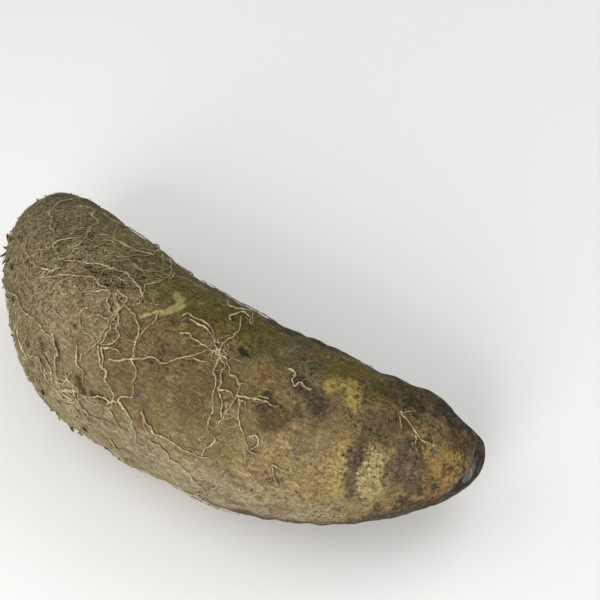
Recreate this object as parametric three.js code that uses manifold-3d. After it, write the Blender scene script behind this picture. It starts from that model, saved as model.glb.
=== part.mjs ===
import * as THREE from "three";
import { mergeVertices } from "three/addons/utils/BufferGeometryUtils.js";
import Module from "manifold-3d";

// A purple yam as it was lifted: one bent tuber lying on its side, with feeder roots still on it.
// Millimetres, +Z up, +X from the stem end to the growing tip, -Y on the outside of the bend.
// The origin is on the flat spot that the tuber rests on.

const wasm = await Module();
wasm.setup();

// The tuber's form: pull points, evenly spaced from the stem end to the tip
const tuberLength = 250;
const bend = [45, 20, -27, -14, -13, -8, 44];
const axisHeight = [34, 38, 46, 38, 41, 42, 22];
const halfThickness = [43, 48, 46, 35, 45, 47, 43];
const skinDetail = 15;

// Relief of the skin
const lumpCount = 12;
const lumpHeight = 0.36;
const lumpSpan = [45, 110];
const wrinkleCount = 16;
const wrinkleHeight = 0.1;
const wrinkleSpan = [13, 32];
const ringHeight = 0.25;
const ringSpacing = 11;
const ringTilt = 20;
const ringStart = 0;
const ringEnd = 60;
// Swellings, and dents with a height below zero
const swellings = [
  { at: [-112, 25], radius: 26, height: 3.8 },
  { at: [-88, 75], radius: 24, height: 2.4 },
  { at: [-20, 120], radius: 24, height: 1.2 },
  { at: [55, 128], radius: 18, height: 1 },
  { at: [104, -40], radius: 13, height: 2.4 },
  { at: [123, 80], radius: 16, height: 1.9 },
  { at: [24, 124], radius: 18, height: -2.8 },
  { at: [36, -54], radius: 14, height: -1.6 },
  { at: [119, -17], radius: 13, height: -2.2 },
  { at: [88, -24], radius: 8, height: -2.4 },
  { at: [101, -8], radius: 10, height: -0.9 },
  { at: [40, 5], radius: 3.5, height: -0.8 },
  { at: [55, 84], radius: 3.5, height: -0.9 },
  { at: [77, 74], radius: 3.5, height: -0.7 },
  { at: [-18, 104], radius: 9, height: -1.2 },
  { at: [20, -88], radius: 7, height: -1.5 },
  { at: [-70, -120], radius: 8, height: -1.3 },
];
// The healed scars at the growing tip and where the old stem came away
const scars = [
  { at: [121, 48], radius: 6, cut: 0.9, dish: 0.6 },
  { at: [-124.5, 0], radius: 8, cut: 1.3, dish: 0.9 },
];

// Feeder roots
const rootRadius = 0.75;
const branchRadius = 0.5;
const tipShare = 0.45;
const rootSides = 4;
const branchSides = 3;
const rootStep = 5.5;
const skinGap = 0.45;
const postRadius = 1.3;
const postDepth = 3;
const postSides = 6;
const holeClearance = 0.35;
const holeMouth = 2;
const settleLength = 6;
const swayWidth = [0.3, 0.8];
const swaySpan = [11, 22];
const archHeight = [0, 2];
const archSpan = [16, 34];
const branchSpacing = 36;
const branchLength = [6, 15];
const branchStart = [0.25, 0.9];
const branchTurn = [0.5, 1.1];
const branchSweep = [0, 1.2];
const clearOfOthers = 2.6;
const walkStride = 7;
const walkEnds = [-114, 112];
const walkSides = 128;

const skinColour = 0x7a6b4c;
const rootColour = 0xc9b78c;

// Where the roots run, as [along, around]: millimetres along from the middle, and degrees
// round from the top, positive down the outside of the bend. Each route runs outwards.
// A spray is one tangle of roots that have grown together, from one tuft or from several.
const sprays = {
  middle: [
    {
      base: [-16, 9],
      routes: [
        [[-24, 7], [-29, 11], [-34, 12], [-40, 17], [-47, 29], [-56, 41]],
        [[-23, 15], [-30, 19], [-30, 23]],
        [[-15, 0], [-22, -2], [-28, -2], [-36, 4], [-41, 9], [-47, 20], [-52, 29], [-66, 35], [-80, 35]],
        [[-14, 20], [-13, 29], [-11, 41]],
        [[-5, 16], [0, 21], [3, 34], [6, 41], [8, 50], [8, 56], [3, 62], [-2, 69], [-10, 72]],
      ],
    },
    {
      base: [-11, 41],
      routes: [
        [[-8, 40], [-4, 37]],
        [[-8, 46], [-4, 53], [0, 55], [3, 62]],
        [[-17, 39], [-21, 38], [-25, 35], [-26, 31], [-24, 27]],
        [[-14, 44], [-16, 51], [-16, 56], [-12, 59], [-10, 65], [-12, 72]],
        [[-8, 38], [-6, 32], [-8, 26], [-10, 23]],
      ],
    },
    {
      base: [-12, 72],
      routes: [
        [[-21, 82], [-25, 80], [-28, 74], [-35, 72], [-40, 76], [-45, 82], [-50, 78]],
        [[-8, 79], [-5, 82], [2, 78], [10, 74]],
        [[-8, 77], [-5, 84], [1, 91], [5, 98], [10, 108]],
        [[-22, 84], [-25, 82], [-26, 76], [-28, 70], [-33, 68]],
        [[-23, 75], [-25, 67], [-26, 60], [-29, 57]],
      ],
    },
  ],
  belly: [
    {
      base: [14, 60],
      routes: [
        [[19, 66], [29, 68], [37, 70], [44, 67]],
        [[37, 69], [40, 62], [41, 58], [40, 55]],
        [[17, 65], [18, 72], [21, 69], [18, 79]],
        [[9, 61], [7, 62]],
      ],
    },
  ],
  star: [
    {
      base: [28, 8],
      routes: [
        [[22, 1], [16, -2], [10, -2]],
        [[25, 11], [20, 10], [13, 11]],
        [[26, 14], [22, 20], [17, 26], [13, 30]],
        [[30, 5], [31, -2], [31, -11]],
        [[33, 11], [37, 16], [40, 22], [43, 29], [50, 28], [56, 27]],
        [[35, 13], [35, 21], [36, 28], [40, 34], [41, 44], [40, 51]],
        [[34, 18], [33, 22], [36, 34], [36, 44], [36, 52]],
        [[43, 30], [46, 40], [47, 48], [50, 54], [52, 56], [53, 49]],
      ],
    },
  ],
  crook: [
    {
      base: [60, 63],
      routes: [
        [[59, 56], [61, 50], [57, 48]],
        [[61, 70], [63, 80]],
        [[59, 64], [54, 64]],
        [[61, 66], [65, 66]],
      ],
    },
  ],
  ridge: [
    {
      base: [-29, -45],
      routes: [
        [[-39, -46], [-36, -29], [-39, -10], [-40, 1]],
        [[-16, -24], [-14, -6]],
        [[-36, -30], [-43, -23], [-49, -16], [-54, -18], [-67, -28]],
      ],
    },
  ],
  flank: [{ base: [-31, 53], routes: [[[-37, 56], [-44, 57], [-52, 59], [-57, 58], [-67, 64], [-82, 76]]] }],
  crown: [{ base: [-79, 12], routes: [[[-88, 10], [-92, 5], [-102, -10]]] }],
  shoulder: [{ base: [-60, 5], routes: [[[-62, -5], [-65, -10], [-71, -19], [-75, -18], [-86, -20]]] }],
  rim: [{ base: [25, -28], routes: [[[28, -31], [34, -21]], [[20, -26], [15, -33]]] }],
  squiggle: [{ base: [55, 4], routes: [[[58, 6], [60, 12], [62, 12], [65, 13]]] }],
  tip: [{ base: [95, 16], routes: [[[97, 26], [99, 30], [104, 34]], [[92, 14], [88, 15]]] }],
};

// The sprays on the side that faces away grow by the same habit, from these places
const farBases = [
  [-66, -62],
  [-90, -98],
  [-42, -98],
  [-8, -76],
  [4, -116],
  [40, -66],
  [66, -104],
  [-62, 108],
  [30, 112],
];
const farRootCount = [3, 4];
const farRootLength = [20, 44];
const farRootSpread = [-0.4, 0.4];
const farRootSweep = [-1, 1];

// A small generator, so that every draw is the same each time
let state = 20417;
function draw(low, high) {
  state = (Math.imul(state, 1664525) + 1013904223) >>> 0;
  return low + ((high - low) * state) / 4294967296;
}

// Plane waves in random directions, which add up to a smooth uneven height
function makeWaves(count, height, span) {
  const waves = [];
  for (let i = 0; i < count; i++) {
    const rise = draw(-1, 1);
    const turn = draw(0, 2 * Math.PI);
    const flat = Math.sqrt(1 - rise * rise);
    const direction = new THREE.Vector3(flat * Math.cos(turn), flat * Math.sin(turn), rise);
    waves.push({ direction, length: draw(...span), phase: draw(0, 2 * Math.PI), height });
  }
  return waves;
}
const reliefWaves = [
  ...makeWaves(lumpCount, lumpHeight, lumpSpan),
  ...makeWaves(wrinkleCount, wrinkleHeight, wrinkleSpan),
];

// The Bezier value of evenly spaced pull points at t, from 0 to 1
function pulled(points, t) {
  let row = points;
  while (row.length > 1) {
    row = row.slice(1).map((value, i) => row[i] + (value - row[i]) * t);
  }
  return row[0];
}

function axisPoint(t) {
  return new THREE.Vector3(tuberLength * (t - 0.5), pulled(bend, t), pulled(axisHeight, t));
}

// The tuber's plain form, at t along its axis and an angle round it: the place and the way out
function plainSkin(t, angle) {
  const nudge = 1e-4;
  const forward = axisPoint(t + nudge).sub(axisPoint(t - nudge));
  const speed = forward.length() / (2 * nudge);
  forward.normalize();
  const outside = new THREE.Vector3(forward.y, -forward.x, 0).normalize();
  const upward = outside.clone().cross(forward);
  const radial = upward.multiplyScalar(Math.cos(angle)).addScaledVector(outside, Math.sin(angle));
  const half = pulled(halfThickness, t);
  const swell = (pulled(halfThickness, t + nudge) - pulled(halfThickness, t - nudge)) / (2 * nudge);
  const ring = 2 * Math.sqrt(Math.max(0, t * (1 - t)));
  const place = axisPoint(t).addScaledVector(radial, half * ring);
  const outward = radial
    .clone()
    .multiplyScalar(ring * speed)
    .addScaledVector(forward, -(swell * ring * ring + 2 * half * (1 - 2 * t)))
    .normalize();
  return { place, outward };
}

function plainSkinAt([along, around]) {
  return plainSkin(along / tuberLength + 0.5, THREE.MathUtils.degToRad(around));
}

const placedSwellings = swellings.map((swelling) => ({
  ...swelling,
  centre: plainSkinAt(swelling.at).place,
}));
const placedScars = scars.map((scar) => {
  const { place, outward } = plainSkinAt(scar.at);
  return { ...scar, facing: outward, centre: place.addScaledVector(outward, -scar.cut) };
});

function relief(place) {
  let height = 0;
  for (const wave of reliefWaves) {
    height += wave.height * Math.sin((2 * Math.PI * wave.direction.dot(place)) / wave.length + wave.phase);
  }
  const towardsTip = THREE.MathUtils.smoothstep(place.x, ringStart, ringEnd);
  height += ringHeight * towardsTip * Math.sin((2 * Math.PI * place.x) / ringSpacing + place.z / ringTilt);
  for (const swelling of placedSwellings) {
    const away = place.distanceTo(swelling.centre) / swelling.radius;
    height += swelling.height * Math.exp(-away * away);
  }
  return height;
}

// What lies past a scar's plane is pressed back to it, and dished
function pressScar(place, scar) {
  const past = place.clone().sub(scar.centre).dot(scar.facing);
  if (past <= 0) return;
  place.addScaledVector(scar.facing, -past);
  const away = Math.min(1, place.distanceTo(scar.centre) / scar.radius);
  place.addScaledVector(scar.facing, -scar.dish * (1 - away * away));
}

// A point at a height over the finished skin, where the roots run
function skin(at, lift) {
  const { place, outward } = plainSkinAt(at);
  place.addScaledVector(outward, relief(place) + lift);
  return { place, outward, at, lift };
}

function solidOf(geometry) {
  geometry.deleteAttribute("normal");
  geometry.deleteAttribute("uv");
  const merged = mergeVertices(geometry, 1e-4);
  return new wasm.Manifold(
    new wasm.Mesh({
      numProp: 3,
      vertProperties: merged.attributes.position.array,
      triVerts: new Uint32Array(merged.index.array),
    }),
  );
}

function geometryOf(solid) {
  const mesh = solid.getMesh();
  return new THREE.BufferGeometry()
    .setAttribute("position", new THREE.BufferAttribute(mesh.vertProperties, 3))
    .setIndex(new THREE.BufferAttribute(mesh.triVerts, 1));
}

// A ball drawn out along X: each of its points is moved to the skin
function makeTuber() {
  const ball = new THREE.IcosahedronGeometry(1, skinDetail);
  const points = ball.attributes.position;
  const direction = new THREE.Vector3();
  for (let i = 0; i < points.count; i++) {
    direction.fromBufferAttribute(points, i).normalize();
    const { place, outward } = plainSkin((1 + direction.x) / 2, Math.atan2(-direction.y, direction.z));
    place.addScaledVector(outward, relief(place));
    placedScars.forEach((scar) => pressScar(place, scar));
    points.setXYZ(i, place.x, place.y, place.z);
  }
  const groundDepth = 20;
  const ground = new THREE.BoxGeometry(2 * tuberLength, tuberLength, groundDepth);
  ground.translate(0, 0, -groundDepth / 2);
  return solidOf(ball).subtract(solidOf(ground));
}

// A closed tapered tube through points that each know the way out of the skin
function makeStrand(path, startRadius, endRadius, sides) {
  const last = path.length - 1;
  const tube = new THREE.CylinderGeometry(endRadius, startRadius, 1, sides, last);
  const points = tube.attributes.position;
  for (let i = 0; i < points.count; i++) {
    const k = Math.round((points.getY(i) + 0.5) * last);
    const forward = path[Math.min(k + 1, last)].place.clone().sub(path[Math.max(k - 1, 0)].place);
    const side = path[k].outward.clone().cross(forward).normalize();
    const square = forward.cross(side).normalize();
    const moved = path[k].place
      .clone()
      .addScaledVector(square, points.getX(i))
      .addScaledVector(side, points.getZ(i));
    points.setXYZ(i, moved.x, moved.y, moved.z);
  }
  return solidOf(tube);
}

// A straight post out of the skin, from a depth to a height
function makePost(base, depth, height, footRadius, headRadius) {
  const ends = [skin(base, -depth), skin(base, height)];
  const outward = new THREE.Vector3(0, 0, 1).cross(ends[0].outward).normalize();
  return makeStrand(ends.map((end) => ({ ...end, outward })), footRadius, headRadius, postSides);
}

// Millimetres over the skin for one millimetre along, and for one degree round
function skinScale([along, around]) {
  const here = plainSkinAt([along, around]).place;
  const further = plainSkinAt([along + 1, around]).place;
  const rounder = plainSkinAt([along, around + 1]).place;
  return [here.distanceTo(further), here.distanceTo(rounder)];
}

// A smooth line through the points of a route, at u from 0 to 1
function onRoute(route, u) {
  const last = route.length - 1;
  const i = Math.min(Math.floor(u * last), last - 1);
  const f = u * last - i;
  return [0, 1].map((axis) => {
    const [a, b, c, d] = [i - 1, i, i + 1, i + 2].map((k) => route[THREE.MathUtils.clamp(k, 0, last)][axis]);
    return b + 0.5 * f * (c - a + f * (2 * a - 5 * b + 4 * c - d + f * (3 * b - a - 3 * c + d)));
  });
}

function routeLength(route) {
  let length = 0;
  for (let i = 1; i < route.length; i++) {
    const [alongScale, aroundScale] = skinScale(route[i]);
    const alongStep = (route[i][0] - route[i - 1][0]) * alongScale;
    const aroundStep = (route[i][1] - route[i - 1][1]) * aroundScale;
    length += Math.hypot(alongStep, aroundStep);
  }
  return length;
}

// Places spread evenly from one to the next
function between(from, to) {
  const parts = 4;
  return Array.from({ length: parts }, (_, i) => from.clone().lerp(to, (i + 1) / parts));
}

// The path that a root takes over the skin: its route, with a slow sway and low arches.
// It ends short of the places that other sprays have taken.
function makePath(route, radius, startLift, taken) {
  const length = routeLength(route);
  const steps = Math.max(2, Math.round(length / rootStep));
  const sway = draw(...swayWidth);
  const span = draw(...swaySpan);
  const arch = draw(...archHeight);
  const archLength = draw(...archSpan);
  const look = 0.02;
  const path = [];
  for (let k = 0; k <= steps; k++) {
    const travelled = (length * k) / steps;
    const at = onRoute(route, k / steps);
    const next = onRoute(route, Math.min(1, k / steps + look));
    const before = onRoute(route, Math.max(0, k / steps - look));
    const [alongScale, aroundScale] = skinScale(at);
    const heading = Math.atan2((next[1] - before[1]) * aroundScale, (next[0] - before[0]) * alongScale);
    const free = Math.min(1, travelled / settleLength, (length - travelled) / settleLength);
    const aside = free * sway * Math.sin((2 * Math.PI * travelled) / span);
    const settle = Math.max(0, 1 - travelled / settleLength);
    const rise = free * arch * Math.sin((Math.PI * travelled) / archLength) ** 2;
    const lift = startLift * settle + (radius + skinGap + rise) * (1 - settle);
    const swayed = [
      at[0] - (aside * Math.sin(heading)) / alongScale,
      at[1] + (aside * Math.cos(heading)) / aroundScale,
    ];
    const point = { ...skin(swayed, lift), heading };
    const stretch = k > 0 ? between(path[k - 1].place, point.place) : [];
    if (stretch.some((place) => taken.some((other) => other.distanceTo(place) < clearOfOthers))) break;
    path.push(point);
  }
  return path;
}

// A route that walks over the skin from a start, turning steadily as it goes
function walk(start, heading, length, sweep) {
  const count = Math.max(1, Math.round(length / walkStride));
  const route = [start];
  for (let i = 0; i < count; i++) {
    const [alongScale, aroundScale] = skinScale(route[i]);
    const turned = heading + (sweep * i) / count;
    const along = route[i][0] + (walkStride * Math.cos(turned)) / alongScale;
    const around = route[i][1] + (walkStride * Math.sin(turned)) / aroundScale;
    route.push([
      THREE.MathUtils.clamp(along, ...walkEnds),
      THREE.MathUtils.clamp(around, -walkSides, walkSides),
    ]);
  }
  return route;
}

function nearest(points, place) {
  return points.reduce((best, point) =>
    point.place.distanceTo(place) < best.place.distanceTo(place) ? point : best,
  );
}

// One branch or two leave each root, to either side
function growBranches(path, taken) {
  const paths = [];
  const count = Math.floor(((path.length - 1) * rootStep) / branchSpacing);
  for (let i = 0; i < count; i++) {
    const origin = path[Math.floor(draw(...branchStart) * path.length)];
    const side = draw(0, 1) < 0.5 ? -1 : 1;
    const heading = origin.heading + side * draw(...branchTurn);
    const twig = walk(origin.at, heading, draw(...branchLength), -side * draw(...branchSweep));
    paths.push(makePath(twig, branchRadius, origin.lift, taken));
  }
  return paths.filter((branch) => branch.length > 1);
}

// One tuft: a post in the skin, and the roots that leave it or each other
function growTuft(tuft, taken) {
  const headLift = rootRadius + skinGap;
  const points = [skin(tuft.base, headLift)];
  const paths = [];
  const branches = [];
  for (const route of tuft.routes) {
    const from = nearest(points, skin(route[0], headLift).place);
    const path = makePath([from.at, ...route], rootRadius, from.lift, taken);
    if (path.length < 2) continue;
    paths.push(path);
    branches.push(...growBranches(path, taken));
    points.push(...path);
  }
  const solids = [
    makePost(tuft.base, postDepth, headLift, postRadius, rootRadius),
    ...paths.map((path) => makeStrand(path, rootRadius, rootRadius * tipShare, rootSides)),
    ...branches.map((path) => makeStrand(path, branchRadius, branchRadius * tipShare, branchSides)),
  ];
  const places = [...paths, ...branches].flatMap((path) =>
    path.slice(1).flatMap((point, k) => between(path[k].place, point.place)),
  );
  return { solids, places };
}

function makeHole(base) {
  const radius = postRadius + holeClearance;
  return makePost(base, postDepth + holeClearance, holeMouth, radius, radius);
}

farBases.forEach((base, index) => {
  const count = Math.round(draw(...farRootCount));
  const first = draw(0, 2 * Math.PI);
  const routes = [];
  for (let i = 0; i < count; i++) {
    const heading = first + (2 * Math.PI * i) / count + draw(...farRootSpread);
    routes.push(walk(base, heading, draw(...farRootLength), draw(...farRootSweep)).slice(1));
  }
  sprays[`far_${index + 1}`] = [{ base, routes }];
});

const yam = new THREE.Group();
const skinMaterial = new THREE.MeshStandardMaterial({ color: skinColour, roughness: 0.8, metalness: 0 });
const rootMaterial = new THREE.MeshStandardMaterial({ color: rootColour, roughness: 0.85, metalness: 0 });

function addNode(name, solid, material) {
  const mesh = new THREE.Mesh(geometryOf(solid), material);
  mesh.name = name;
  yam.add(mesh);
}

// The sprays, each clear of those before it. Loose scraps of a join are dropped.
const taken = [];
for (const [name, tufts] of Object.entries(sprays)) {
  const grown = tufts.map((tuft) => growTuft(tuft, taken));
  const joined = wasm.Manifold.union(grown.flatMap((tuft) => tuft.solids));
  const [whole] = joined.decompose().sort((a, b) => b.volume() - a.volume());
  addNode(`root_spray_${name}`, whole, rootMaterial);
  taken.push(...grown.flatMap((tuft) => tuft.places));
}

// The tuber, with the small holes that the sprays stand in
const bases = Object.values(sprays).flatMap((tufts) => tufts.map((tuft) => tuft.base));
addNode("tuber", makeTuber().subtract(wasm.Manifold.union(bases.map(makeHole))), skinMaterial);

export default yam;
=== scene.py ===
import math
import random

import bmesh
import bpy
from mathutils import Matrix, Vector, noise


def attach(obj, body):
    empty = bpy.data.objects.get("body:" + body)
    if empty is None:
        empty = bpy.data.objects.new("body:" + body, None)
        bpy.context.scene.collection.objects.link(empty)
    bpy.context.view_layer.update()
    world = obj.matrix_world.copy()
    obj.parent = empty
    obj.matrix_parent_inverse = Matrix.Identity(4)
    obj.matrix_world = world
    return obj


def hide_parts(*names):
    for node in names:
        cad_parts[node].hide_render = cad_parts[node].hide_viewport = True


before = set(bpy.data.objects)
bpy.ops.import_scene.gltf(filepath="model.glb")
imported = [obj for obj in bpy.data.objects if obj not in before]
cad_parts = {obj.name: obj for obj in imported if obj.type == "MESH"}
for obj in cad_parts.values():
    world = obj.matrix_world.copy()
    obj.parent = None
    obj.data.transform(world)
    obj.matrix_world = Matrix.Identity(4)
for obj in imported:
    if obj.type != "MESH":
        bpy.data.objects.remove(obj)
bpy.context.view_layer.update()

# A purple yam: one bent tuber lying on its side, with feeder roots on it.
# The form is worked out in millimetres and made in metres. A place on the skin is [along, around]:
# millimetres along from the middle, and degrees round from the top, positive on the outside of the bend.
mm = 0.001

# the form, as the solids have it
form = {
    "length": 250,
    "bend": [45, 20, -27, -14, -13, -8, 44],
    "axisHeight": [34, 38, 46, 38, 41, 42, 22],
    "halfThickness": [43, 48, 46, 35, 45, 47, 43],
    "lumps": {"count": 12, "height": 0.36, "span": (45, 110)},
    "wrinkles": {"count": 16, "height": 0.1, "span": (13, 32)},
    "ringHeight": 0.25,
    "ringSpacing": 11,
    "ringTilt": 20,
    "ringEnd": 60,
    "swellings": [
        {"at": (-112, 25), "radius": 26, "height": 3.8},
        {"at": (-88, 75), "radius": 24, "height": 2.4},
        {"at": (-20, 120), "radius": 24, "height": 1.2},
        {"at": (55, 128), "radius": 18, "height": 1},
        {"at": (104, -40), "radius": 13, "height": 2.4},
        {"at": (123, 80), "radius": 16, "height": 1.9},
        {"at": (24, 124), "radius": 18, "height": -2.8},
        {"at": (36, -54), "radius": 14, "height": -1.6},
        {"at": (119, -17), "radius": 13, "height": -2.2},
        {"at": (88, -24), "radius": 8, "height": -2.4},
        {"at": (101, -8), "radius": 10, "height": -0.9},
        {"at": (40, 5), "radius": 3.5, "height": -0.8},
        {"at": (55, 84), "radius": 3.5, "height": -0.9},
        {"at": (77, 74), "radius": 3.5, "height": -0.7},
        {"at": (-18, 104), "radius": 9, "height": -1.2},
        {"at": (20, -88), "radius": 7, "height": -1.5},
        {"at": (-70, -120), "radius": 8, "height": -1.3},
    ],
    "scars": [
        {"at": (121, 48), "radius": 6, "cut": 0.9, "dish": 0.6},
        {"at": (-124.5, 0), "radius": 8, "cut": 1.3, "dish": 0.9},
    ],
}

drawState = 20417


def draw(low, high):  # the solids' own generator, so that the same roots grow here
    global drawState
    drawState = (drawState * 1664525 + 1013904223) % 2**32
    return low + (high - low) * drawState / 2**32


def makeWaves(settings):
    waves = []
    for _ in range(settings["count"]):
        rise = draw(-1, 1)
        turn = draw(0, 2 * math.pi)
        flat = math.sqrt(1 - rise * rise)
        direction = Vector((flat * math.cos(turn), flat * math.sin(turn), rise))
        length = draw(*settings["span"])
        waves.append((direction * 2 * math.pi / length, draw(0, 2 * math.pi), settings["height"]))
    return waves


reliefWaves = makeWaves(form["lumps"]) + makeWaves(form["wrinkles"])


def pulled(points, t):  # the Bezier value of evenly spaced pull points
    row = points
    while len(row) > 1:
        row = [a + (b - a) * t for a, b in zip(row, row[1:])]
    return row[0]


def axisPoint(t):
    return Vector((form["length"] * (t - 0.5), pulled(form["bend"], t), pulled(form["axisHeight"], t)))


def plainSkin(t, angle):  # the place and the way out, at t along the axis and an angle round it
    nudge = 1e-4
    forward = axisPoint(t + nudge) - axisPoint(t - nudge)
    speed = forward.length / (2 * nudge)
    forward.normalize()
    outside = Vector((forward.y, -forward.x, 0)).normalized()
    radial = outside.cross(forward) * math.cos(angle) + outside * math.sin(angle)
    half = pulled(form["halfThickness"], t)
    swell = pulled(form["halfThickness"], t + nudge) - pulled(form["halfThickness"], t - nudge)
    ring = 2 * math.sqrt(max(0, t * (1 - t)))
    place = axisPoint(t) + radial * half * ring
    outward = radial * ring * speed - forward * (swell / (2 * nudge) * ring * ring + 2 * half * (1 - 2 * t))
    return place, outward.normalized()


def plainSkinAt(at):
    return plainSkin(at[0] / form["length"] + 0.5, math.radians(at[1]))


for swelling in form["swellings"]:
    swelling["centre"] = plainSkinAt(swelling["at"])[0]
for scar in form["scars"]:
    scarPlace, scar["facing"] = plainSkinAt(scar["at"])
    scar["centre"] = scarPlace - scar["facing"] * scar["cut"]


def smoothStep(value, low, high):
    share = min(1, max(0, (value - low) / (high - low)))
    return share * share * (3 - 2 * share)


def relief(place):
    height = sum(tall * math.sin(wave.dot(place) + phase) for wave, phase, tall in reliefWaves)
    rings = math.sin(2 * math.pi * place.x / form["ringSpacing"] + place.z / form["ringTilt"])
    height += form["ringHeight"] * smoothStep(place.x, 0, form["ringEnd"]) * rings
    for swelling in form["swellings"]:
        away = (place - swelling["centre"]).length / swelling["radius"]
        height += swelling["height"] * math.exp(-away * away)
    return height


def pressScar(place, scar):
    past = (place - scar["centre"]).dot(scar["facing"])
    if past <= 0:
        return place
    place = place - scar["facing"] * past
    away = min(1, (place - scar["centre"]).length / scar["radius"])
    return place - scar["facing"] * scar["dish"] * (1 - away * away)


def skinPlace(at, lift=0):  # a point over the finished skin
    place, outward = plainSkinAt(at)
    return place + outward * (relief(place) + lift), outward


def skinScale(at):  # millimetres over the skin for one millimetre along, and for one degree round
    here = plainSkinAt(at)[0]
    return (
        (plainSkinAt((at[0] + 1, at[1]))[0] - here).length,
        (plainSkinAt((at[0], at[1] + 1))[0] - here).length,
    )


# shader nodes
def addNode(tree, kind, inputs=None, **settings):
    node = tree.nodes.new("ShaderNode" + kind)
    for key, value in settings.items():
        setattr(node, key, value)
    for key, value in (inputs or {}).items():
        if isinstance(value, bpy.types.NodeSocket):
            tree.links.new(value, node.inputs[key])
        else:
            node.inputs[key].default_value = value
    return node


def tone(red, green, blue):  # a screen colour, 0 to 255, as the shader wants it
    parts = [value / 255 for value in (red, green, blue)]
    return (*[p / 12.92 if p <= 0.04045 else ((p + 0.055) / 1.055) ** 2.4 for p in parts], 1)


def mixColour(tree, factor, first, second, blend="MIX"):
    inputs = {0: factor, 6: first, 7: second}
    return addNode(tree, "Mix", inputs, data_type="RGBA", blend_type=blend).outputs[2]


def calculate(tree, operation, *values, clamp=False):
    return addNode(tree, "Math", dict(enumerate(values)), operation=operation, use_clamp=clamp).outputs[0]


def calculateVector(tree, operation, *values, scale=None, output="Vector"):
    inputs = dict(enumerate(values))
    if scale is not None:
        inputs["Scale"] = scale
    return addNode(tree, "VectorMath", inputs, operation=operation).outputs[output]


def stretch(tree, value, low, high, lowTo=0.0, highTo=1.0):
    settings = {"Value": value, "From Min": low, "From Max": high, "To Min": lowTo, "To Max": highTo}
    return addNode(tree, "MapRange", settings, interpolation_type="SMOOTHSTEP").outputs["Result"]


def noiseValue(tree, place, scale, detail, roughness=0.6, output="Fac"):
    inputs = {"Vector": place, "Scale": scale, "Detail": detail, "Roughness": roughness}
    return addNode(tree, "TexNoise", inputs).outputs[output]


def newGroup(name, inputs, outputs):
    group = bpy.data.node_groups.new(name, "ShaderNodeTree")
    for socketName, kind, value in inputs:
        socket = group.interface.new_socket(socketName, in_out="INPUT", socket_type="NodeSocket" + kind)
        socket.default_value = value
    for socketName, kind in outputs:
        group.interface.new_socket(socketName, in_out="OUTPUT", socket_type="NodeSocket" + kind)
    return group, group.nodes.new("NodeGroupInput").outputs, group.nodes.new("NodeGroupOutput").inputs


def makePatchesGroup():  # soft-edged patches of noise
    sockets = [
        ("Place", "Vector", (0, 0, 0)),
        ("Scale", "Float", 60),
        ("Detail", "Float", 4),
        ("Low", "Float", 0.45),
        ("High", "Float", 0.6),
    ]
    group, given, result = newGroup("patches", sockets, [("Mask", "Float")])
    value = noiseValue(group, given["Place"], given["Scale"], given["Detail"])
    group.links.new(stretch(group, value, given["Low"], given["High"]), result["Mask"])
    return group


zoneTear = 1.1  # how far the noise moves a zone's edge, as a share of its half width


def makeZoneGroup():  # an oval on the map of the skin, along and around, with a ragged edge
    sockets = [
        ("Map", "Vector", (0, 0, 0)),
        ("Centre", "Vector", (0, 0, 0)),
        ("Size", "Vector", (10, 10, 1)),
        ("Ragged", "Float", 0.5),
        ("Softness", "Float", 0.4),
    ]
    group, given, result = newGroup("zone", sockets, [("Mask", "Float")])
    away = calculateVector(group, "SUBTRACT", given["Map"], given["Centre"])
    share = calculateVector(group, "DIVIDE", away, given["Size"])
    distance = calculateVector(group, "LENGTH", share, output="Value")
    torn = calculate(group, "MULTIPLY_ADD", given["Ragged"], -zoneTear, zoneTear / 2)
    value = calculate(group, "ADD", distance, torn)
    inner = calculate(group, "SUBTRACT", 1.0, given["Softness"])
    outer = calculate(group, "ADD", 1.0, given["Softness"])
    group.links.new(stretch(group, value, outer, inner), result["Mask"])
    return group


def makeMarkGroup():  # a mark along the line from Start to End
    sockets = [
        ("Place", "Vector", (0, 0, 0)),
        ("Start", "Vector", (0, 0, 0)),
        ("End", "Vector", (0, 0, 0)),
        ("Radius", "Float", 0.002),
        ("Softness", "Float", 0.001),
    ]
    group, given, result = newGroup("mark", sockets, [("Mask", "Float")])
    fromStart = calculateVector(group, "SUBTRACT", given["Place"], given["Start"])
    whole = calculateVector(group, "SUBTRACT", given["End"], given["Start"])
    reach = calculateVector(group, "DOT_PRODUCT", fromStart, whole, output="Value")
    square = calculateVector(group, "DOT_PRODUCT", whole, whole, output="Value")
    share = calculate(group, "DIVIDE", reach, square, clamp=True)
    onLine = calculateVector(group, "SCALE", whole, scale=share)
    away = calculateVector(group, "DISTANCE", fromStart, onLine, output="Value")
    outer = calculate(group, "ADD", given["Radius"], given["Softness"])
    inner = calculate(group, "SUBTRACT", given["Radius"], given["Softness"])
    group.links.new(stretch(group, away, outer, inner), result["Mask"])
    return group


def makeHairLinesGroup():  # thin wandering lines, like hairs that lie on the skin
    sockets = [("Place", "Vector", (0, 0, 0)), ("Scale", "Float", 200), ("Width", "Float", 0.02)]
    group, given, result = newGroup("hairLines", sockets, [("Mask", "Float")])
    value = noiseValue(group, given["Place"], given["Scale"], 2.0, 0.5)
    away = calculate(group, "ABSOLUTE", calculate(group, "SUBTRACT", value, 0.5))
    group.links.new(stretch(group, away, given["Width"], 0.0), result["Mask"])
    return group


groups = {
    "patches": makePatchesGroup(),
    "zone": makeZoneGroup(),
    "mark": makeMarkGroup(),
    "hairLines": makeHairLinesGroup(),
}


def placeGroup(tree, name, **inputs):
    return addNode(tree, "Group", inputs, node_tree=groups[name]).outputs[0]


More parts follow.
